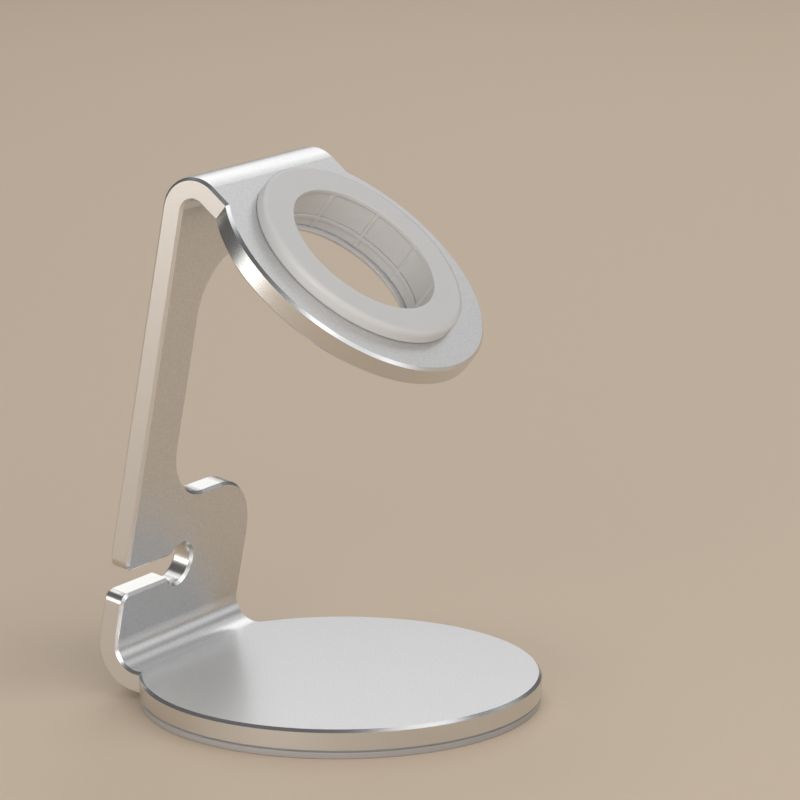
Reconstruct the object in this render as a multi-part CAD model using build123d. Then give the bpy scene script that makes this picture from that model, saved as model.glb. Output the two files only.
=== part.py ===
# Watch charging stand: one plate of sheet aluminium folded into a round base, a
# forward-leaning upright and a sloping round head, with a moulded silicone socket for a
# charging puck in the head and a silicone pad under the base.
#
# Frame, millimetres: the origin is the middle of the pad's underside, on the axis of the
# round base. +Z is up, -Y is the front and +X is the right-hand side seen from the front.
from build123d import *
import os
from math import cos, radians, sin, sqrt

# Sheet
sheet_t = 4.0                 # thickness of the plate
edge_chamfer = 0.5            # bright cut edge all round, both faces

# Base
base_r = 35.0                 # round foot of the plate
pad_t = 1.1                   # anti-slip pad under the foot
pad_inset = 0.2               # the pad stops this far inside the foot's edge
pad_edge_c = 0.2              # eased lower edge of the pad

# Folded strip, seen from the side
strip_half_w = 19.2           # half the width of the strip
base_tab = 0.44               # straight side between the round foot and the lower bend
low_bend_r = 4.2              # inside radius of the lower bend
upright_lean = 10.7           # degrees forward of vertical
upright_len = 78.65           # straight length between the two bends
top_bend_r = 2.25             # inside radius of the top bend
head_slope = 39.1             # degrees the head falls away below level
head_rim = 6.0                # plate left bare round the socket's flange
head_back = 1.4               # the flange stops this far short of the top bend

# Cut-out that leaves a neck on the left of the upright
neck_right_x = -8.6           # right-hand edge of the neck
shoulder_h = 23.5             # wide lower part, along the upright from the lower bend
lintel_drop = 10.15           # wide upper part, along the upright from the top bend
cut_r = 10.5                  # inner corners of the cut-out
shoulder_r = 11.3             # outer corner of the lower part
lintel_r = 5.0                # outer corner of the upper part

# Cable slot and keyhole in the lower part
key_r = 3.7                   # round end that holds the cable
key_x = -2.45
key_h = 10.6
slot_w = 4.3                  # narrower than the round end, so the cable stays in
mouth_r = 1.8                 # rounded corners at the open end

# Silicone socket in the head
ring_h = 2.5                  # flange above the head
ring_top_r = 0.6              # soft top edge
ring_foot_c = 0.2             # small relief where the flange meets the plate
flange_w = 3.4                # flange lying on the head, beyond the head's hole
spigot_wall = 2.2             # moulded wall inside the head's hole
spigot_gap = 0.05             # between that wall and the hole, per side
snap_out = 0.8                # snap bead under the head, beyond the spigot
snap_land = 0.6               # straight part of the snap bead
snap_taper = 1.6              # lead-in below it
grip_r = 14.1                 # crest of lip, ribs and bead: what the puck slides in
grip_proud = 0.25             # crests stand this far out of the socket wall
mouth_c = 0.15                # lead-in at the mouth
lip_h = 0.8                   # lip below the top face
bead_depth = 6.0              # top of the bead below the top face
bead_h = 0.9                  # height of the bead
ledge_depth = 8.7             # seat for the puck below the top face
ledge_w = 0.8                 # the seat stands this far in from the crests
ledge_tip = 0.3               # thin inner edge of the seat
ledge_relief = 0.9            # the seat is relieved underneath, at 45 degrees
rib_count = 10
rib_w = 0.8
rib_root = 0.5                # ribs are rooted this deep in the socket wall
rib_first = 10.5              # degrees from +X towards the front

# Cutters and tests
overrun = 10.0                # cutters run this far past what they cut
on_line = 0.001               # an edge whose middle is this near a line lies on it

# Derived
quarter = radians(90)
base_top = pad_t + sheet_t
wall_r = grip_r + grip_proud
spigot_r = wall_r + spigot_wall
head_bore_r = spigot_r + spigot_gap
ring_r = head_bore_r + flange_w
ledge_r = grip_r - ledge_w
head_r = ring_r + head_rim
head_reach = ring_r + head_back
low_bend_y = sqrt(base_r**2 - strip_half_w**2) + base_tab
lintel_h = upright_len - lintel_drop
lean = radians(upright_lean)
slope = radians(head_slope)
up_dir = Vector(0, -sin(lean), cos(lean))
front_dir = Vector(0, -cos(lean), -sin(lean))
head_up = Vector(0, -sin(slope), cos(slope))
head_out = Vector(0, -cos(slope), -sin(slope))
flat_end = Vector(0, low_bend_y, base_top)
low_c = flat_end + Vector(0, 0, low_bend_r)
low_front = low_c - front_dir * low_bend_r
top_front = low_front + up_dir * upright_len
top_c = top_front + front_dir * top_bend_r
head_start = top_c + head_up * top_bend_r
head_c = head_start + head_up * sheet_t + head_out * head_reach
upright = Plane(origin=low_front, x_dir=(1, 0, 0), z_dir=front_dir)
head = Plane(origin=head_c, x_dir=(1, 0, 0), z_dir=head_up)

# From one face of the sheet to the other: under the base, behind the upright, over the head
below = Vector(0, 0, -sheet_t)
behind = front_dir * -sheet_t
above = head_up * sheet_t


# A point of the strip's side view
def yz(point):
    return (point.Y, point.Z)


# The middle of a bend, on a radius round its centre
def bend_middle(centre, start, end, radius):
    middle = (start + end) / 2
    return centre + Vector(0, cos(middle), sin(middle)) * radius


# Folded strip, its side view drawn once round both faces of the sheet
def folded_strip():
    start = Vector(0, 0, base_top)
    head_end = head_start + head_out * head_reach
    low_inside = bend_middle(low_c, -quarter, lean, low_bend_r)
    low_outside = bend_middle(low_c, -quarter, lean, low_bend_r + sheet_t)
    top_inside = bend_middle(top_c, lean, quarter + slope, top_bend_r)
    top_outside = bend_middle(top_c, lean, quarter + slope, top_bend_r + sheet_t)
    with BuildPart() as made:
        with BuildSketch(Plane.YZ):
            with BuildLine():
                Line(yz(start), yz(flat_end))
                ThreePointArc(yz(flat_end), yz(low_inside), yz(low_front))
                Line(yz(low_front), yz(top_front))
                ThreePointArc(yz(top_front), yz(top_inside), yz(head_start))
                Line(yz(head_start), yz(head_end))
                Line(yz(head_end), yz(head_end + above))
                Line(yz(head_end + above), yz(head_start + above))
                ThreePointArc(yz(head_start + above), yz(top_outside), yz(top_front + behind))
                Line(yz(top_front + behind), yz(low_front + behind))
                ThreePointArc(yz(low_front + behind), yz(low_outside), yz(flat_end + below))
                Line(yz(flat_end + below), yz(start + below))
                Line(yz(start + below), yz(start))
            make_face()
        extrude(amount=strip_half_w, both=True)
    return made.part


# Cut-out beside the neck: open to the right, rounded into both wide parts
def neck_cut():
    right = strip_half_w
    far = right + overrun
    left = neck_right_x
    low = shoulder_h - shoulder_r
    high = lintel_h + lintel_r
    with BuildPart() as made:
        with BuildSketch(upright):
            with BuildLine():
                Line((right, low), (far, low))
                Line((far, low), (far, high))
                Line((far, high), (right, high))
                RadiusArc((right, high), (right - lintel_r, lintel_h), lintel_r)
                Line((right - lintel_r, lintel_h), (left + cut_r, lintel_h))
                RadiusArc((left + cut_r, lintel_h), (left, lintel_h - cut_r), -cut_r)
                Line((left, lintel_h - cut_r), (left, shoulder_h + cut_r))
                RadiusArc((left, shoulder_h + cut_r), (left + cut_r, shoulder_h), -cut_r)
                Line((left + cut_r, shoulder_h), (right - shoulder_r, shoulder_h))
                RadiusArc((right - shoulder_r, shoulder_h), (right, low), shoulder_r)
            make_face()
        extrude(amount=sheet_t + overrun, both=True)
    return made.part


# Cable slot: open to the left with rounded corners, ending in the round keyhole
def cable_cut():
    left = -strip_half_w
    far = left - overrun
    low = key_h - slot_w / 2
    high = key_h + slot_w / 2
    with BuildPart() as made:
        with BuildSketch(upright):
            with BuildLine():
                Line((far, low - mouth_r), (left, low - mouth_r))
                RadiusArc((left, low - mouth_r), (left + mouth_r, low), mouth_r)
                Line((left + mouth_r, low), (key_x, low))
                Line((key_x, low), (key_x, high))
                Line((key_x, high), (left + mouth_r, high))
                RadiusArc((left + mouth_r, high), (left, high + mouth_r), mouth_r)
                Line((left, high + mouth_r), (far, high + mouth_r))
                Line((far, high + mouth_r), (far, low - mouth_r))
            make_face()
            with Locations((key_x, key_h)):
                Circle(key_r)
        extrude(amount=sheet_t + overrun, both=True)
    return made.part


# The edges where a cut edge of the sheet meets one of its two faces. Left out are the lines
# that run through the sheet's thickness and those where a bend runs into a flat.
def rim_edges(body):
    inside = [flat_end, low_front, top_front, head_start]
    outside = [flat_end + below, low_front + behind, top_front + behind, head_start + above]
    kept = []
    for edge in body.edges():
        middle = edge.position_at(0.5)
        across = edge.position_at(1) - edge.position_at(0)
        through = abs(across.X) < on_line and abs(edge.length - sheet_t) < on_line
        on_bend = any(
            abs(middle.Y - line.Y) < on_line and abs(middle.Z - line.Z) < on_line
            for line in inside + outside
        )
        if not through and not on_bend:
            kept.append(edge)
    return kept


# A round end of the plate, cut off square where its bend begins
def round_end(radius, reach):
    disc = Cylinder(radius, sheet_t, align=(Align.CENTER, Align.CENTER, Align.MAX))
    span = 2 * (radius + reach)
    depth = 2 * (sheet_t + overrun)
    keep = Box(span, span, depth, align=(Align.CENTER, Align.MAX, Align.CENTER))
    return disc & Pos(0, reach, 0) * keep


def stand_plate():
    foot = Pos(0, 0, base_top) * round_end(base_r, low_bend_y)
    disc = head.location * round_end(head_r, head_reach)
    body = (foot + folded_strip() + disc).clean()
    body = (body - neck_cut() - cable_cut()).clean()
    body = chamfer(rim_edges(body), edge_chamfer)
    bore = head.location * Cylinder(head_bore_r, 2 * (sheet_t + overrun))
    return body - bore


# Ribs inside the socket, from the seat up into the lip
def socket_ribs(seat):
    rib_h = ring_h - lip_h - seat
    tall = 2 * (ledge_depth + overrun)
    root_r = wall_r + rib_root
    rib = Pos(0, 0, seat) * Box(rib_w, root_r, rib_h, align=(Align.CENTER, Align.MIN, Align.MIN))
    spokes = Part()
    for i in range(rib_count):
        turn = -rib_first - 90 - i * 360 / rib_count
        spokes += Rot(0, 0, turn) * rib
    return spokes & (Cylinder(root_r, tall) - Cylinder(grip_r, tall))


# Silicone socket, drawn about the head's own axis with the plate's top face at height 0
def charger_ring():
    snap_r = spigot_r + snap_out
    snap_low = -sheet_t - snap_land
    lip = ring_h - lip_h
    bead = ring_h - bead_depth
    seat = ring_h - ledge_depth
    tip = seat - ledge_tip
    foot = tip - ledge_relief
    with BuildPart() as made:
        with BuildSketch(Plane.XZ):
            with BuildLine():
                Polyline(
                    (ledge_r, tip),
                    (ledge_r + ledge_relief, foot),
                    (spigot_r, foot),
                    (spigot_r, snap_low - snap_taper),
                    (snap_r, snap_low),
                    (snap_r, -sheet_t),
                    (spigot_r, -sheet_t),
                    (spigot_r, 0),
                    (ring_r - ring_foot_c, 0),
                    (ring_r, ring_foot_c),
                    (ring_r, ring_h),
                    (grip_r + mouth_c, ring_h),
                    (grip_r, ring_h - mouth_c),
                    (grip_r, lip),
                    (wall_r, lip),
                    (wall_r, bead),
                    (grip_r, bead),
                    (grip_r, bead - bead_h),
                    (wall_r, bead - bead_h),
                    (wall_r, seat),
                    (ledge_r, seat),
                    close=True,
                )
            make_face()
        revolve(axis=Axis.Z)
        top_circles = made.edges().filter_by(GeomType.CIRCLE).group_by(Axis.Z)[-1]
        fillet(top_circles.sort_by(SortBy.RADIUS)[-1], ring_top_r)
    body = (made.part + socket_ribs(seat)).clean()
    return head.location * body


def base_pad():
    pad = Cylinder(base_r - pad_inset, pad_t, align=(Align.CENTER, Align.CENTER, Align.MIN))
    low_rim = pad.edges().filter_by(GeomType.CIRCLE).group_by(Axis.Z)[0]
    return chamfer(low_rim, pad_edge_c)


os.makedirs("parts", exist_ok=True)
export_step(stand_plate(), "parts/stand_plate.step")
export_step(charger_ring(), "parts/charger_ring.step")
export_step(base_pad(), "parts/base_pad.step")
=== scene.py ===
"""Dresses a folded watch charging stand: an anodised plate, a silicone socket and a silicone pad.

Lengths are written in millimetres and turned to metres where meshes and nodes are made. The
frame is the stand's own: +Z is up, -Y is the front, and the origin is the middle of the
pad's underside.
"""

import logging
import math
from dataclasses import dataclass
from enum import Enum

import bmesh
import bpy
from mathutils import Matrix, Vector


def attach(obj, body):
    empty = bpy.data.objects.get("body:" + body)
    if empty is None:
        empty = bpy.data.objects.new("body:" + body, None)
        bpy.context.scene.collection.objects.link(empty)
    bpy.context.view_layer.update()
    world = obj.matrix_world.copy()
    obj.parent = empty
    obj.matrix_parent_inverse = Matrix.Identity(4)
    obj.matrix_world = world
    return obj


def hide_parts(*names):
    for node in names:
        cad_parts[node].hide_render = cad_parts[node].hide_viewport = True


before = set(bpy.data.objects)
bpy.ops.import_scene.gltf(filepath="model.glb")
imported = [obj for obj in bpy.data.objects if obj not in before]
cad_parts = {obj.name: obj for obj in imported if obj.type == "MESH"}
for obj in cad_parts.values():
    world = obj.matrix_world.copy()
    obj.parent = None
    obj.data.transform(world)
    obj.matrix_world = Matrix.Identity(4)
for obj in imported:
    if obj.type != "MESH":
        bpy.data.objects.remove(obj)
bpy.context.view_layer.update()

log = logging.getLogger("watch_stand")

MM = 0.001


class Slot(Enum):
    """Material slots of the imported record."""

    SOCKET = "socket_silicone"
    PAD = "pad_silicone"


def linear(hex_colour: str) -> tuple[float, float, float, float]:
    """Turns an sRGB hex colour into linear RGBA.

    Args:
        hex_colour: Six hex digits with a leading #.

    Returns:
        The linear red, green and blue with an alpha of 1.
    """
    values = [int(hex_colour[i:i + 2], 16) / 255 for i in (1, 3, 5)]
    knee, toe, lift, power = 0.04045, 12.92, 0.055, 2.4
    red, green, blue = (
        v / toe if v <= knee else ((v + lift) / (1 + lift)) ** power for v in values
    )
    return (red, green, blue, 1.0)


def add_node(
    tree: bpy.types.NodeTree,
    kind: str,
    settings: dict[str, object] | None = None,
    inputs: dict[str | int, object] | None = None,
) -> bpy.types.Node:
    """Adds one node with its settings, constants and links.

    Args:
        tree: The node tree that takes the node.
        kind: Blender's type name of the node.
        settings: Properties of the node itself.
        inputs: Socket name or index to a constant, or to the output socket that feeds it.

    Returns:
        The new node.
    """
    node = tree.nodes.new(kind)
    for name, value in (settings or {}).items():
        setattr(node, name, value)
    for key, value in (inputs or {}).items():
        if isinstance(value, bpy.types.NodeSocket):
            tree.links.new(value, node.inputs[key])
        else:
            node.inputs[key].default_value = value
    return node


@dataclass(frozen=True)
class SheetForm:
    """Side view of the folded sheet, which carries the socket and tells faces from cut edges.

    Attributes:
        thickness: Sheet thickness.
        base_r: Radius of the round base.
        base_top: Height of the base's top face.
        strip_half_w: Half the width of the folded strip.
        base_tab: Flat strip between the round base and the lower bend.
        low_bend_r: Inside radius of the lower bend.
        lean: Degrees that the upright leans forward.
        upright_len: Straight length between the bends.
        top_bend_r: Inside radius of the top bend.
        slope: Degrees that the head falls away below level.
        head_reach: Top bend's centre line to the middle of the head, along the head.
    """

    thickness: float = 4.0
    base_r: float = 35.0
    base_top: float = 5.1
    strip_half_w: float = 19.2
    base_tab: float = 0.44
    low_bend_r: float = 4.2
    lean: float = 10.7
    upright_len: float = 78.65
    top_bend_r: float = 2.25
    slope: float = 39.1
    head_reach: float = 21.4

    def front(self) -> Vector:
        """Returns the outward direction of the upright's front face."""
        angle = math.radians(self.lean)
        return Vector((0, -math.cos(angle), -math.sin(angle)))

    def up_along(self) -> Vector:
        """Returns the direction up along the upright."""
        angle = math.radians(self.lean)
        return Vector((0, -math.sin(angle), math.cos(angle)))

    def head_up(self) -> Vector:
        """Returns the outward direction of the head's top face."""
        angle = math.radians(self.slope)
        return Vector((0, -math.sin(angle), math.cos(angle)))

    def head_out(self) -> Vector:
        """Returns the direction along the head, away from the top bend."""
        angle = math.radians(self.slope)
        return Vector((0, -math.cos(angle), -math.sin(angle)))

    def low_centre(self) -> Vector:
        """Returns a point on the lower bend's centre line."""
        bend_y = math.sqrt(self.base_r ** 2 - self.strip_half_w ** 2) + self.base_tab
        return Vector((0, bend_y, self.base_top + self.low_bend_r))

    def top_centre(self) -> Vector:
        """Returns a point on the top bend's centre line."""
        foot = self.low_centre() - self.front() * self.low_bend_r
        return foot + self.up_along() * self.upright_len + self.front() * self.top_bend_r

    def head_middle(self) -> Vector:
        """Returns the middle of the head's top face."""
        over_bend = self.head_up() * (self.top_bend_r + self.thickness)
        return self.top_centre() + over_bend + self.head_out() * self.head_reach


@dataclass(frozen=True)
class Finish:
    """A surface finish, which makes its material from nodes.

    Attributes:
        name: The material's name.
    """

    name: str

    def material(self) -> bpy.types.Material:
        """Makes the material.

        Returns:
            The finished material.
        """
        material = bpy.data.materials.new(self.name)
        material.use_nodes = True
        tree = material.node_tree
        tree.nodes.clear()
        surface = self.shader(tree).outputs["BSDF"]
        add_node(tree, "ShaderNodeOutputMaterial", None, {"Surface": surface})
        return material

    def shader(self, tree: bpy.types.NodeTree) -> bpy.types.Node:
        """Adds the finish's nodes.

        Args:
            tree: The material's node tree.

        Returns:
            The shader node.
        """
        raise NotImplementedError(self.name)


@dataclass(frozen=True)
class AnodisedAluminium(Finish):
    """Bead-blasted, silver anodised sheet with milled edges and bright diamond-cut chamfers.

    The blasting gives the faces a fine sparkle and a soft, wide highlight. The edges are
    milled smooth, so they mirror the floor in a satin way. The chamfers are cut after
    anodising with a polished tool, so they show as thin, hard lines of light and dark.

    Attributes:
        form: Side view of the sheet.
        face_colour: Colour of the anodised faces.
        edge_colour: Colour of the milled edges.
        cut_colour: Colour of the bare metal in the chamfers.
        face_rough: Roughness of the blasted faces.
        edge_rough: Roughness of the milled edges.
        cut_rough: Roughness of the diamond-cut chamfers.
        grain_mm: Width of one blasted dimple, drawn coarser than real so that it shows.
        grain_depth_mm: Depth of the dimples.
        grain_tone: How much lighter or darker one dimple is.
        grain_octaves: Finer layers of noise in the grain.
        grain_fade: Strength of each finer layer in the grain.
        edge_grain: Share of the grain that is left on the milled edges.
        cloud_mm: Width of the faint uneven patches of the anodising bath.
        cloud_tone: How much lighter or darker a patch is.
        cloud_octaves: Finer layers of noise in the patches.
        face_limit: How squarely a facet looks out of the sheet, at least, to be a face.
        edge_limit: The same, at most, to be a milled edge; a chamfer lies between the two.
        margin_mm: How far above the base's top face a point still counts as on the base.
    """

    form: SheetForm = SheetForm()
    face_colour: str = "#DDDDDD"
    edge_colour: str = "#DFDDDA"
    cut_colour: str = "#E9EAEB"
    face_rough: float = 0.29
    edge_rough: float = 0.26
    cut_rough: float = 0.26
    grain_mm: float = 0.30
    grain_depth_mm: float = 0.004
    grain_tone: float = 0.24
    grain_octaves: float = 2.0
    grain_fade: float = 0.6
    edge_grain: float = 0.06
    cloud_mm: float = 14.0
    cloud_tone: float = 0.012
    cloud_octaves: float = 2.0
    face_limit: float = 0.90
    edge_limit: float = 0.35
    margin_mm: float = 0.1

    def shader(self, tree: bpy.types.NodeTree) -> bpy.types.Node:
        """Adds the metal's nodes, with its own values on faces, edges and chamfers.

        Args:
            tree: The material's node tree.

        Returns:
            The shader node.
        """
        place = add_node(tree, "ShaderNodeTexCoord").outputs["Object"]
        squareness = self.squareness(tree, place)
        on_face = add_node(
            tree, "ShaderNodeMath", {"operation": "GREATER_THAN"}, {0: squareness, 1: self.face_limit}
        )
        on_edge = add_node(
            tree, "ShaderNodeMath", {"operation": "LESS_THAN"}, {0: squareness, 1: self.edge_limit}
        )
        zones = (on_face.outputs["Value"], on_edge.outputs["Value"])
        grain = add_node(
            tree, "ShaderNodeTexNoise", None,
            {
                "Vector": place,
                "Scale": 1 / (self.grain_mm * MM),
                "Detail": self.grain_octaves,
                "Roughness": self.grain_fade,
            },
        )
        grain_share = self.by_zone(tree, "FLOAT", zones, 1.0, self.edge_grain, 0.0)
        grain_shade = add_node(
            tree, "ShaderNodeMapRange", None,
            {
                "Value": grain.outputs["Fac"],
                "To Min": 1 - self.grain_tone,
                "To Max": 1 + self.grain_tone,
            },
        )
        speckle = add_node(
            tree, "ShaderNodeMix", {"data_type": "FLOAT"},
            {"Factor": grain_share, "A": 1.0, "B": grain_shade.outputs["Result"]},
        )
        clouds = add_node(
            tree, "ShaderNodeTexNoise", None,
            {
                "Vector": place,
                "Scale": 1 / (self.cloud_mm * MM),
                "Detail": self.cloud_octaves,
            },
        )
        cloud_shade = add_node(
            tree, "ShaderNodeMapRange", None,
            {
                "Value": clouds.outputs["Fac"],
                "To Min": 1 - self.cloud_tone,
                "To Max": 1 + self.cloud_tone,
            },
        )
        shade = add_node(
            tree, "ShaderNodeMath", {"operation": "MULTIPLY"},
            {0: speckle.outputs["Result"], 1: cloud_shade.outputs["Result"]},
        )
        colours = [linear(c) for c in (self.face_colour, self.edge_colour, self.cut_colour)]
        colour = add_node(
            tree, "ShaderNodeVectorMath", {"operation": "SCALE"},
            {0: self.by_zone(tree, "RGBA", zones, *colours), "Scale": shade.outputs["Value"]},
        )
        roughness = add_node(
            tree, "ShaderNodeMath", {"operation": "DIVIDE"},
            {
                0: self.by_zone(
                    tree, "FLOAT", zones, self.face_rough, self.edge_rough, self.cut_rough
                ),
                1: cloud_shade.outputs["Result"],
            },
        )
        dimples = add_node(
            tree, "ShaderNodeBump", None,
            {
                "Strength": grain_share,
                "Distance": self.grain_depth_mm * MM,
                "Height": grain.outputs["Fac"],
            },
        )
        return add_node(
            tree, "ShaderNodeBsdfPrincipled", None,
            {
                "Base Color": colour.outputs["Vector"],
                "Metallic": 1.0,
                "Roughness": roughness.outputs["Value"],
                "Normal": dimples.outputs["Normal"],
            },
        )

    def by_zone(
        self,
        tree: bpy.types.NodeTree,
        data_type: str,
        zones: tuple[bpy.types.NodeSocket, bpy.types.NodeSocket],
        face: object,
        edge: object,
        cut: object,
    ) -> bpy.types.NodeSocket:
        """Gives faces, milled edges and chamfers a value each.

        Args:
            tree: The material's node tree.
            data_type: FLOAT or RGBA.
            zones: The marks of faces and of milled edges.
            face: Value on the faces.
            edge: Value on the milled edges.
            cut: Value on the chamfers.

        Returns:
            The value at the point that is shaded.
        """
        on_face, on_edge = zones
        off_face = add_node(
            tree, "ShaderNodeMix", {"data_type": data_type}, {"Factor": on_edge, "A": cut, "B": edge}
        )
        value = add_node(
            tree, "ShaderNodeMix", {"data_type": data_type},
            {"Factor": on_face, "A": off_face.outputs["Result"], "B": face},
        )
        return value.outputs["Result"]

    def squareness(
        self, tree: bpy.types.NodeTree, place: bpy.types.NodeSocket
    ) -> bpy.types.NodeSocket:
        """Measures how squarely a facet looks out of the sheet: 1 on a face, 0 on a cut edge.

        The sheet's own direction is that of the base, the upright or the head, and in each
        bend it points away from the bend's centre line.

        Args:
            tree: The material's node tree.
            place: The point on the surface.

        Returns:
            The size of the dot product between the facet and the sheet.
        """
        form = self.form
        low, top = form.low_centre(), form.top_centre()
        level, backward, upward = Vector((0, 0, 1)), Vector((0, 1, 0)), form.up_along()
        foot_top = Vector((0, 0, form.base_top + self.margin_mm))
        regions = (
            ((low, -upward), (low, -upward), self.away(tree, place, low)),
            ((top, upward), (top, upward), self.away(tree, place, top)),
            ((low, -backward), (foot_top, -level), level),
            ((top, form.head_out()), (top, form.head_up()), form.head_up()),
        )
        sheet = form.front()
        for first, second, outward in regions:
            inside = add_node(
                tree, "ShaderNodeMath", {"operation": "MULTIPLY"},
                {0: self.past(tree, place, *first), 1: self.past(tree, place, *second)},
            )
            chosen = add_node(
                tree, "ShaderNodeMix", {"data_type": "VECTOR"},
                {"Factor": inside.outputs["Value"], "A": sheet, "B": outward},
            )
            sheet = chosen.outputs["Result"]
        facet = add_node(tree, "ShaderNodeNewGeometry").outputs["True Normal"]
        dot = add_node(
            tree, "ShaderNodeVectorMath", {"operation": "DOT_PRODUCT"}, {0: facet, 1: sheet}
        )
        size = add_node(tree, "ShaderNodeMath", {"operation": "ABSOLUTE"}, {0: dot.outputs["Value"]})
        return size.outputs["Value"]

    def away(
        self, tree: bpy.types.NodeTree, place: bpy.types.NodeSocket, centre: Vector
    ) -> bpy.types.NodeSocket:
        """Finds the unit direction away from a bend's centre line, in the side view.

        Args:
            tree: The material's node tree.
            place: The point on the surface.
            centre: A point on the centre line.

        Returns:
            The direction.
        """
        side_view = (0.0, 1.0, 1.0)
        arm = add_node(
            tree, "ShaderNodeVectorMath", {"operation": "SUBTRACT"}, {0: place, 1: centre * MM}
        )
        flat = add_node(
            tree, "ShaderNodeVectorMath", {"operation": "MULTIPLY"},
            {0: arm.outputs["Vector"], 1: side_view},
        )
        unit = add_node(
            tree, "ShaderNodeVectorMath", {"operation": "NORMALIZE"}, {0: flat.outputs["Vector"]}
        )
        return unit.outputs["Vector"]

    def past(
        self,
        tree: bpy.types.NodeTree,
        place: bpy.types.NodeSocket,
        centre: Vector,
        along: Vector,
    ) -> bpy.types.NodeSocket:
        """Tests whether the point lies past a plane.

        Args:
            tree: The material's node tree.
            place: The point on the surface.
            centre: A point on the plane.
            along: The direction square to the plane.

        Returns:
            1 past the plane and 0 before it.
        """
        reach = add_node(
            tree, "ShaderNodeVectorMath", {"operation": "DOT_PRODUCT"}, {0: place, 1: along}
        )
        beyond = add_node(
            tree, "ShaderNodeMath", {"operation": "GREATER_THAN"},
            {0: reach.outputs["Value"], 1: centre.dot(along) * MM},
        )
        return beyond.outputs["Value"]


@dataclass(frozen=True)
class MouldedSilicone(Finish):
    """Compression-moulded silicone rubber with a lightly etched skin.

    The etched mould gives the rubber a dry, even skin with a faint satin sheen, and its
    soft body lets a little light in under the surface, which keeps its shadows mild.

    Attributes:
        colour: Body colour.
        patch_colour: Slightly different colour of the uneven patches.
        rough: Roughness of the etched skin.
        skin_mm: Width of the etched texture, drawn coarser than real so that it shows.
        skin_depth_mm: Depth of the etched texture.
        skin_rough: How much rougher or smoother the skin is from point to point.
        skin_octaves: Finer layers of noise in the texture.
        skin_fade: Strength of each finer layer in the texture.
        patch_mm: Width of the uneven patches.
        patch_octaves: Finer layers of noise in the patches.
        glow: Share of the light that spreads under the skin.
        glow_mm: How far it spreads.
        rubber_ior: Refraction of silicone.
    """

    colour: str = "#D1D0CF"
    patch_colour: str = "#CAC9C8"
    rough: float = 0.36
    skin_mm: float = 0.28
    skin_depth_mm: float = 0.006
    skin_rough: float = 0.08
    skin_octaves: float = 2.0
    skin_fade: float = 0.55
    patch_mm: float = 9.0
    patch_octaves: float = 3.0
    glow: float = 0.05
    glow_mm: float = 0.25
    rubber_ior: float = 1.41

    def shader(self, tree: bpy.types.NodeTree) -> bpy.types.Node:
        """Adds the rubber's nodes.

        Args:
            tree: The material's node tree.

        Returns:
            The shader node.
        """
        place = add_node(tree, "ShaderNodeTexCoord").outputs["Object"]
        patches = add_node(
            tree, "ShaderNodeTexNoise", None,
            {
                "Vector": place,
                "Scale": 1 / (self.patch_mm * MM),
                "Detail": self.patch_octaves,
            },
        )
        skin = add_node(
            tree, "ShaderNodeTexNoise", None,
            {
                "Vector": place,
                "Scale": 1 / (self.skin_mm * MM),
                "Detail": self.skin_octaves,
                "Roughness": self.skin_fade,
            },
        )
        colour = add_node(
            tree, "ShaderNodeMix", {"data_type": "RGBA"},
            {
                "Factor": patches.outputs["Fac"],
                "A": linear(self.colour),
                "B": linear(self.patch_colour),
            },
        )
        roughness = add_node(
            tree, "ShaderNodeMapRange", None,
            {
                "Value": skin.outputs["Fac"],
                "To Min": self.rough * (1 - self.skin_rough),
                "To Max": self.rough * (1 + self.skin_rough),
            },
        )
        etching = add_node(
            tree, "ShaderNodeBump", None,
            {
                "Strength": 1.0,
                "Distance": self.skin_depth_mm * MM,
                "Height": skin.outputs["Fac"],
            },
        )
        return add_node(
            tree, "ShaderNodeBsdfPrincipled", None,
            {
                "Base Color": colour.outputs["Result"],
                "Roughness": roughness.outputs["Result"],
                "IOR": self.rubber_ior,
                "Subsurface Weight": self.glow,
                "Subsurface Scale": self.glow_mm * MM,
                "Normal": etching.outputs["Normal"],
            },
        )


@dataclass(frozen=True)
class PaintedBoard(Finish):
    """Smooth painted board in a pale warm tone, which the milled edges of the plate mirror.

    Attributes:
        colour: Paint colour.
        rough: Roughness of the paint.
    """

    colour: str = "#DBC7B0"
    rough: float = 0.7

    def shader(self, tree: bpy.types.NodeTree) -> bpy.types.Node:
        """Adds the paint.

        Args:
            tree: The material's node tree.

        Returns:
            The shader node.
        """
        return add_node(
            tree, "ShaderNodeBsdfPrincipled", None,
            {"Base Color": linear(self.colour), "Roughness": self.rough},
        )


def rounded_outline(
    corners: list[tuple[float, float, float]], steps: int, hold: float
) -> list[tuple[float, float]]:
    """Rounds the corners of an outline, and keeps the shading of its flats flat.

    Args:
        corners: Radius, height and rounding of each corner, in order.
        steps: Pieces in each rounded corner.
        hold: Distance from a rounding to the extra point that holds the flat beside it.

    Returns:
        The outline's points as radius and height.
    """
    most_cut, most_hold = 0.42, 0.47
    points = []
    for i, (radius, height, rounding) in enumerate(corners):
        here = Vector((radius, height))
        if rounding <= 0:
            points.append(here)
            continue
        before = Vector(corners[i - 1][:2]) - here
        after = Vector(corners[(i + 1) % len(corners)][:2]) - here
        half = before.angle(after) / 2
        cut = min(rounding / math.tan(half), most_cut * before.length, most_cut * after.length)
        start = here + before.normalized() * cut
        end = here + after.normalized() * cut
        points.append(here + before.normalized() * min(cut + hold, most_hold * before.length))
        for k in range(steps + 1):
            t = k / steps
            points.append(start * (1 - t) ** 2 + here * (2 * t * (1 - t)) + end * t ** 2)
        points.append(here + after.normalized() * min(cut + hold, most_hold * after.length))
    return [(point.x, point.y) for point in points]


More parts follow.
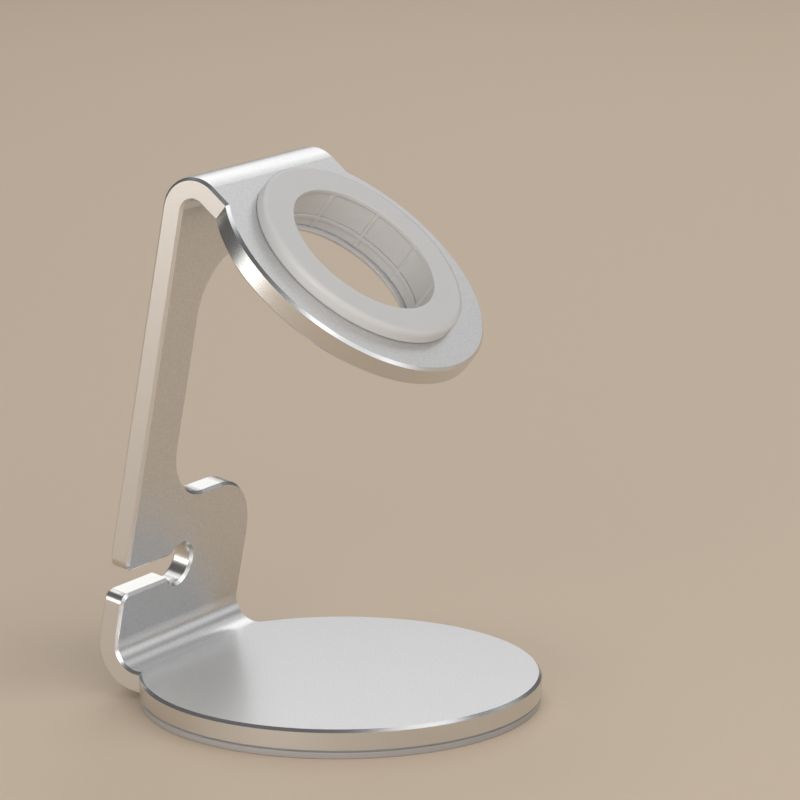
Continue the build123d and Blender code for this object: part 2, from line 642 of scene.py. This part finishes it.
def skin_rings(
    name: str, rings: list[list[Vector]], place: Matrix, closed: bool
) -> bpy.types.Object:
    """Skins sections that stand round an axis into one mesh.

    Args:
        name: The object's name.
        rings: The points of each section, in millimetres, in the axis's own frame.
        place: The axis's frame, in metres.
        closed: True where a section is a closed loop, and False where it is open and its
            two ends are closed with a flat disc each.

    Returns:
        The new object, with its vertices in the stand's frame.
    """
    sharp_degrees = 40
    mesh = bpy.data.meshes.new(name)
    built = bmesh.new()
    rows = [[built.verts.new(place @ (point * MM)) for point in ring] for ring in rings]
    count = len(rows[0])
    for i, row in enumerate(rows):
        following = rows[(i + 1) % len(rows)]
        for j in range(count if closed else count - 1):
            k = (j + 1) % count
            built.faces.new((row[j], following[j], following[k], row[k]))
    if not closed:
        built.faces.new([row[0] for row in rows])
        built.faces.new([row[-1] for row in rows])
    bmesh.ops.recalc_face_normals(built, faces=built.faces)
    built.to_mesh(mesh)
    built.free()
    mesh.shade_smooth()
    mesh.set_sharp_from_angle(angle=math.radians(sharp_degrees))
    piece = bpy.data.objects.new(name, mesh)
    bpy.context.scene.collection.objects.link(piece)
    return piece


def round_the_axis(turn: float, radius: float, height: float) -> Vector:
    """Returns the point at an angle, radius and height round the Z axis."""
    return Vector((radius * math.cos(turn), radius * math.sin(turn), height))


@dataclass
class StandPlate:
    """The folded aluminium plate, kept from the frame and given its finish.

    Attributes:
        finish: The plate's finish.
    """

    finish: Finish

    def build(self) -> None:
        """Puts the anodised finish on the plate."""
        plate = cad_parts["stand_plate"]
        plate.material_slots[0].material = self.finish.material()
        log.info("%s: %s", plate.name, self.finish.name)


@dataclass
class SiliconeSocket:
    """The moulded socket in the head, with its soft lip, ribs, bead and seat.

    Heights are above the plate's top face, along the head's own axis.

    Attributes:
        finish: The rubber.
        form: Side view of the sheet that carries the socket.
        flange_r: Radius of the ring that lies on the head.
        flange_h: Height of that ring.
        flange_foot: Small chamfer at its foot, which draws the dark line round it.
        flange_round: Rounding of its outer top edge.
        spigot_r: Radius of the part in the head's hole.
        snap_out: How far the snap bead under the head stands out.
        snap_land: Height of the snap bead's full radius.
        snap_taper: Height of its taper below.
        crest_r: Radius inside the lip, the ribs and the bead.
        wall_r: Radius of the wall between them.
        lip_h: Height of the lip.
        bead_depth: Mouth to the top of the bead.
        bead_h: Height of the bead.
        seat_depth: Mouth to the seat.
        seat_r: Radius inside the seat.
        seat_tip: Height of the seat's inner edge.
        seat_relief: Width of the taper under the seat.
        groove_w: Width of the fine mould groove beside the lip and the bead.
        groove_d: Depth of that groove.
        seat_groove_w: Width of the deeper groove above the seat.
        seat_groove_d: Depth of that groove.
        rib_count: Number of ribs.
        rib_first: Degrees from the right to the first rib.
        rib_section: Half a rib's section: distance from its middle, and its rise out of the
            wall as a share of the full rise.
        soft: Rounding of the small edges.
        hold: Distance from a rounding to the point that holds the flat beside it.
        corner_steps: Pieces in each rounded edge.
        bay_steps: Pieces of the wall between two ribs.
    """

    finish: Finish
    form: SheetForm
    flange_r: float = 20.0
    flange_h: float = 2.5
    flange_foot: float = 0.2
    flange_round: float = 0.95
    spigot_r: float = 16.55
    snap_out: float = 0.8
    snap_land: float = 0.6
    snap_taper: float = 1.6
    crest_r: float = 14.1
    wall_r: float = 14.35
    lip_h: float = 0.8
    bead_depth: float = 6.05
    bead_h: float = 0.75
    seat_depth: float = 8.7
    seat_r: float = 13.3
    seat_tip: float = 0.3
    seat_relief: float = 0.9
    groove_w: float = 0.14
    groove_d: float = 0.12
    seat_groove_w: float = 0.22
    seat_groove_d: float = 0.20
    rib_count: int = 10
    rib_first: float = 10.5
    rib_section: tuple[tuple[float, float], ...] = (
        (0.0, 0.96), (0.18, 0.95), (0.30, 0.84), (0.38, 0.12), (0.44, 0.0),
    )
    soft: float = 0.08
    hold: float = 0.12
    corner_steps: int = 3
    bay_steps: int = 28

    def outline(self) -> list[tuple[float, float]]:
        """Lays out the socket's section between two ribs.

        Returns:
            The closed section's points as radius and height.
        """
        under_sheet = -self.form.thickness
        snap_r = self.spigot_r + self.snap_out
        snap_low = under_sheet - self.snap_land
        lip = self.flange_h - self.lip_h
        bead = self.flange_h - self.bead_depth
        bead_foot = bead - self.bead_h
        seat = self.flange_h - self.seat_depth
        tip = seat - self.seat_tip
        foot = tip - self.seat_relief
        wall, deep, soft = self.wall_r, self.wall_r + self.groove_d, self.soft
        return rounded_outline([
            (self.seat_r, tip, soft),
            (self.seat_r + self.seat_relief, foot, 3 * soft),
            (self.spigot_r, foot, 3 * soft),
            (self.spigot_r, snap_low - self.snap_taper, soft),
            (snap_r, snap_low, 2 * soft),
            (snap_r, under_sheet, soft),
            (self.spigot_r, under_sheet, 0),
            (self.spigot_r, 0, 0),
            (self.flange_r - self.flange_foot, 0, 0),
            (self.flange_r, self.flange_foot, soft),
            (self.flange_r, self.flange_h, self.flange_round),
            (self.crest_r, self.flange_h, 2 * soft),
            (self.crest_r, lip, soft),
            (deep, lip, 0),
            (deep, lip - self.groove_w, 0),
            (wall, lip - self.groove_w, 0),
            (wall, bead + self.groove_w, 0),
            (deep, bead + self.groove_w, 0),
            (deep, bead, 0),
            (self.crest_r, bead, soft),
            (self.crest_r, bead_foot, soft),
            (deep, bead_foot, 0),
            (deep, bead_foot - self.groove_w, 0),
            (wall, bead_foot - self.groove_w, 0),
            (wall, seat + self.seat_groove_w, 0),
            (wall + self.seat_groove_d, seat + self.seat_groove_w, 0),
            (wall + self.seat_groove_d, seat, 0),
            (self.seat_r, seat, soft),
        ], self.corner_steps, self.hold)

    def turns(self) -> list[tuple[float, float]]:
        """Lists the angles of the sections, close together at each rib.

        Returns:
            The angle and the rise of the wall there, as a share of the full rise.
        """
        turns = []
        pitch = 2 * math.pi / self.rib_count
        edge = self.rib_section[-1][0] / self.wall_r
        across = [(-away, rise) for away, rise in reversed(self.rib_section[1:])]
        across += self.rib_section
        for i in range(self.rib_count):
            middle = i * pitch - math.radians(self.rib_first)
            turns += [(middle + away / self.wall_r, rise) for away, rise in across]
            bay = pitch - 2 * edge
            turns += [
                (middle + edge + bay * k / self.bay_steps, 0.0) for k in range(1, self.bay_steps)
            ]
        return turns

    def raised(self, radius: float, height: float, rise: float) -> float:
        """Brings a point of the wall towards the axis where a rib stands.

        Args:
            radius: The point's radius between two ribs.
            height: The point's height.
            rise: The rise of the wall at this angle, as a share of the full rise.

        Returns:
            The point's radius at this angle.
        """
        seat = self.flange_h - self.seat_depth
        deepest = self.wall_r + max(self.groove_d, self.seat_groove_d)
        in_wall = self.crest_r < radius <= deepest and seat <= height < self.flange_h
        return radius + (self.crest_r - radius) * rise if in_wall else radius

    def build(self) -> None:
        """Makes the socket's mesh and gives it its rubber."""
        outline = self.outline()
        rings = [
            [
                round_the_axis(turn, self.raised(radius, height, rise), height)
                for radius, height in outline
            ]
            for turn, rise in self.turns()
        ]
        up, across = self.form.head_up(), Vector((1, 0, 0))
        place = Matrix((across, up.cross(across), up)).transposed().to_4x4()
        place.translation = self.form.head_middle() * MM
        piece = skin_rings("silicone_socket", rings, place, closed=True)
        piece.data.materials.append(self.finish.material())
        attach(piece, "root")
        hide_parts("charger_ring")
        log.info("%s: %d faces", piece.name, len(piece.data.polygons))


@dataclass
class FootPad:
    """The anti-slip pad under the base, die-cut from sheet with slightly rounded edges.

    Attributes:
        finish: The rubber.
        radius: Outer radius.
        thickness: Thickness of the pad.
        edge_round: Rounding of its lower edge.
        seam_round: Rounding of its upper edge, which draws the fine line under the plate.
        cap_r: Radius of the flat discs that close it.
        hold: Distance from a rounding to the point that holds the flat beside it.
        corner_steps: Pieces in each rounded edge.
        sections: Sections round the axis.
    """

    finish: Finish
    radius: float = 34.8
    thickness: float = 1.1
    edge_round: float = 0.25
    seam_round: float = 0.15
    cap_r: float = 33.0
    hold: float = 0.1
    corner_steps: int = 4
    sections: int = 360

    def build(self) -> None:
        """Makes the pad's mesh and gives it its rubber."""
        outline = rounded_outline([
            (self.cap_r, 0, 0),
            (self.radius, 0, self.edge_round),
            (self.radius, self.thickness, self.seam_round),
            (self.cap_r, self.thickness, 0),
        ], self.corner_steps, self.hold)
        rings = [
            [round_the_axis(2 * math.pi * i / self.sections, *point) for point in outline]
            for i in range(self.sections)
        ]
        piece = skin_rings("silicone_foot_pad", rings, Matrix.Identity(4), closed=False)
        piece.data.materials.append(self.finish.material())
        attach(piece, "root")
        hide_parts("base_pad")
        log.info("%s: %d faces", piece.name, len(piece.data.polygons))


def direction(azimuth: float, elevation: float) -> Vector:
    """Turns two angles into a direction out from the stand.

    Args:
        azimuth: Degrees round from the front, to the right.
        elevation: Degrees above level.

    Returns:
        The unit direction.
    """
    round_z, up = math.radians(azimuth), math.radians(elevation)
    return Vector((
        math.sin(round_z) * math.cos(up),
        -math.cos(round_z) * math.cos(up),
        math.sin(up),
    ))


@dataclass(frozen=True)
class SoftBox:
    """A rectangular studio lamp that faces the stand.

    Attributes:
        name: The lamp's name.
        azimuth: Degrees round from the front, to the right.
        elevation: Degrees above level.
        size_m: Width and height, in metres.
        watts: Power.
        distance_m: Distance from the point that it faces, in metres.
        aim_m: The point that it faces, in metres.
    """

    name: str
    azimuth: float
    elevation: float
    size_m: tuple[float, float]
    watts: float
    distance_m: float = 1.3
    aim_m: tuple[float, float, float] = (0.0, 0.0, 0.05)

    def build(self) -> None:
        """Makes the lamp."""
        lamp = bpy.data.lights.new(self.name, "AREA")
        lamp.shape = "RECTANGLE"
        lamp.size, lamp.size_y = self.size_m
        lamp.energy = self.watts
        outward = direction(self.azimuth, self.elevation)
        holder = bpy.data.objects.new(self.name, lamp)
        holder.location = Vector(self.aim_m) + outward * self.distance_m
        holder.rotation_euler = outward.to_track_quat("Z", "Y").to_euler()
        bpy.context.scene.collection.objects.link(holder)


@dataclass
class Studio:
    """Pale floor, soft lights and the camera.

    Attributes:
        floor: Finish of the floor.
        lamps: The soft boxes.
        room: Colour of the room, which is calm so that the soft boxes give the light.
        floor_half_m: Half the floor's side, in metres.
        azimuth: Degrees round from the front to the camera.
        elevation: Degrees of the camera above level.
        distance_m: Camera to target, in metres.
        target_mm: The point that the camera looks at.
        focal_px: Focal length, as pixels of an 800 pixel wide frame.
        frame_px: Width of the frame in pixels.
        sensor_mm: Width of the sensor.
    """

    floor: Finish
    lamps: tuple[SoftBox, ...]
    room: str = "#5D5D5D"
    floor_half_m: float = 3.0
    azimuth: float = -58.965
    elevation: float = 12.702
    distance_m: float = 0.7071
    target_mm: tuple[float, float, float] = (6.783, -7.978, 52.93)
    focal_px: float = 4115.784
    frame_px: float = 800.0
    sensor_mm: float = 36.0

    def build(self) -> None:
        """Makes the floor, the room, the lamps and the camera."""
        self.make_floor()
        self.make_room()
        for lamp in self.lamps:
            lamp.build()
        self.make_camera()
        log.info("studio: %d lamps", len(self.lamps))

    def make_floor(self) -> None:
        """Makes the floor that the stand rests on."""
        half = self.floor_half_m
        mesh = bpy.data.meshes.new("floor")
        corners = [(-half, -half, 0), (half, -half, 0), (half, half, 0), (-half, half, 0)]
        mesh.from_pydata(corners, [], [(0, 1, 2, 3)])
        mesh.materials.append(self.floor.material())
        floor = bpy.data.objects.new("floor", mesh)
        bpy.context.scene.collection.objects.link(floor)

    def make_room(self) -> None:
        """Makes the even grey room round the stand."""
        world = bpy.data.worlds.new("grey_room")
        bpy.context.scene.world = world
        world.use_nodes = True
        tree = world.node_tree
        tree.nodes.clear()
        light = add_node(tree, "ShaderNodeBackground", None, {"Color": linear(self.room)})
        add_node(tree, "ShaderNodeOutputWorld", None, {"Surface": light.outputs["Background"]})

    def make_camera(self) -> None:
        """Makes the camera, low down and to the front left of the stand."""
        back = direction(self.azimuth, self.elevation)
        data = bpy.data.cameras.new("camera")
        data.sensor_width = self.sensor_mm
        data.lens = self.focal_px / self.frame_px * self.sensor_mm
        data.clip_start, data.clip_end = 0.05, 20.0
        camera = bpy.data.objects.new("camera", data)
        camera.location = Vector(self.target_mm) * MM + back * self.distance_m
        camera.rotation_euler = back.to_track_quat("Z", "Y").to_euler()
        bpy.context.scene.collection.objects.link(camera)
        bpy.context.scene.camera = camera


# Name, degrees round from the front, degrees up, width and height in metres, watts
LAMPS = (
    SoftBox("floor_left", -124, 3, (1.2, 0.3), 2.0),
    SoftBox("low_left", -110, 8, (1.4, 0.4), 3.5),
    SoftBox("strip_left", -90, 10, (0.8, 0.45), 2.3),
    SoftBox("window_left", -60, 20, (1.4, 0.8), 7.0),
    SoftBox("high_front", 0, 50, (1.2, 0.8), 3.0),
    SoftBox("key_front", 0, 20, (1.4, 0.8), 2.4),
    SoftBox("front_right", 30, 20, (1.4, 0.8), 2.5),
    SoftBox("low_right", 58, 14, (0.6, 0.16), 0.12),
    SoftBox("high_right", 90, 45, (0.9, 0.9), 1.7),
    SoftBox("window_right", 115, 25, (0.8, 0.6), 1.3),
    SoftBox("high_back", 135, 45, (0.9, 0.9), 1.9),
    SoftBox("top_back", 163, 64, (0.6, 0.6), 1.2),
)


def build_stand() -> None:
    """Builds and dresses the stand's own pieces in order."""
    form = SheetForm()
    StandPlate(AnodisedAluminium("silver_anodised_blasted_aluminium", form)).build()
    SiliconeSocket(MouldedSilicone("pale_grey_silicone"), form).build()
    FootPad(MouldedSilicone("grey_silicone", "#9F9B97", "#999591")).build()


def main() -> None:
    logging.basicConfig(level=logging.INFO, format="%(name)s: %(message)s")
    bpy.context.scene.view_settings.view_transform = "Standard"
    build_stand()
    Studio(PaintedBoard("pale_painted_board"), LAMPS).build()


if __name__ == "__main__":
    main()
